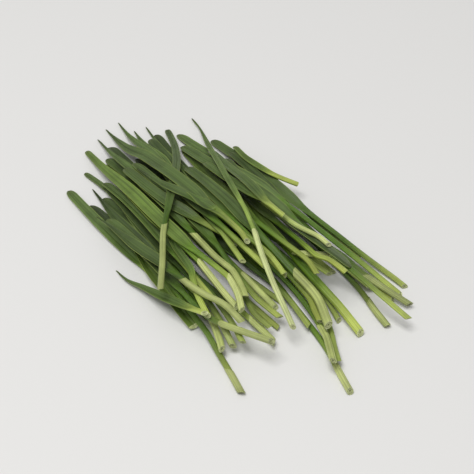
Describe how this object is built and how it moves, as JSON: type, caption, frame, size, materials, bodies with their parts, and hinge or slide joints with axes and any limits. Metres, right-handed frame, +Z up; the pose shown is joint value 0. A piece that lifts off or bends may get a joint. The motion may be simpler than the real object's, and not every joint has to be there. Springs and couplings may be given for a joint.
{
  "type": "handful of cut wheatgrass",
  "caption": "Loose handful of cut wheatgrass lying on a surface: thin stems with pale cut ends, all pointing one way, and long flat blades fanned out the other way.",
  "frame": {"origin": "under the middle of the heap's box, on the surface that the heap lies on", "axes": "+X runs along the heap from the blade tips towards the cut ends, +Y to the far side of the heap as seen in the picture, +Z up from the surface"},
  "size_m": [0.185, 0.09, 0.0228],
  "materials": {
    "shoot_dark": "waxy plant skin, dark green",
    "shoot_green": "waxy plant skin, mid green",
    "shoot_bright": "waxy plant skin, yellow green",
    "shoot_pale": "waxy plant skin, pale green"
  },
  "bodies": {
    "root": {"shoot_01": "shoot_dark", "shoot_02": "shoot_dark", "shoot_03": "shoot_dark", "shoot_04": "shoot_dark", "shoot_05": "shoot_dark", "shoot_06": "shoot_dark", "shoot_07": "shoot_green", "shoot_08": "shoot_bright", "shoot_09": "shoot_bright", "shoot_10": "shoot_bright", "shoot_11": "shoot_dark", "shoot_12": "shoot_green", "shoot_13": "shoot_dark", "shoot_14": "shoot_dark", "shoot_15": "shoot_bright", "shoot_16": "shoot_green", "shoot_17": "shoot_bright", "shoot_18": "shoot_dark", "shoot_19": "shoot_dark", "shoot_20": "shoot_green", "shoot_21": "shoot_bright", "shoot_22": "shoot_green", "shoot_23": "shoot_dark", "shoot_24": "shoot_dark", "shoot_25": "shoot_dark", "shoot_26": "shoot_green", "shoot_27": "shoot_green", "shoot_28": "shoot_green", "shoot_29": "shoot_dark", "shoot_30": "shoot_green", "shoot_31": "shoot_green", "shoot_32": "shoot_green", "shoot_33": "shoot_green", "shoot_34": "shoot_green", "shoot_35": "shoot_green", "shoot_36": "shoot_bright", "shoot_37": "shoot_green", "shoot_38": "shoot_bright", "shoot_39": "shoot_dark", "shoot_40": "shoot_green", "shoot_41": "shoot_dark", "shoot_42": "shoot_green", "shoot_43": "shoot_green", "shoot_44": "shoot_bright", "shoot_45": "shoot_bright", "shoot_46": "shoot_green", "shoot_47": "shoot_bright", "shoot_48": "shoot_dark", "shoot_49": "shoot_green", "shoot_50": "shoot_green", "shoot_51": "shoot_green", "shoot_52": "shoot_green", "shoot_53": "shoot_pale", "shoot_54": "shoot_green", "shoot_55": "shoot_green", "shoot_56": "shoot_green", "shoot_57": "shoot_green", "shoot_58": "shoot_bright", "shoot_59": "shoot_pale"}
  },
  "joints": []
}
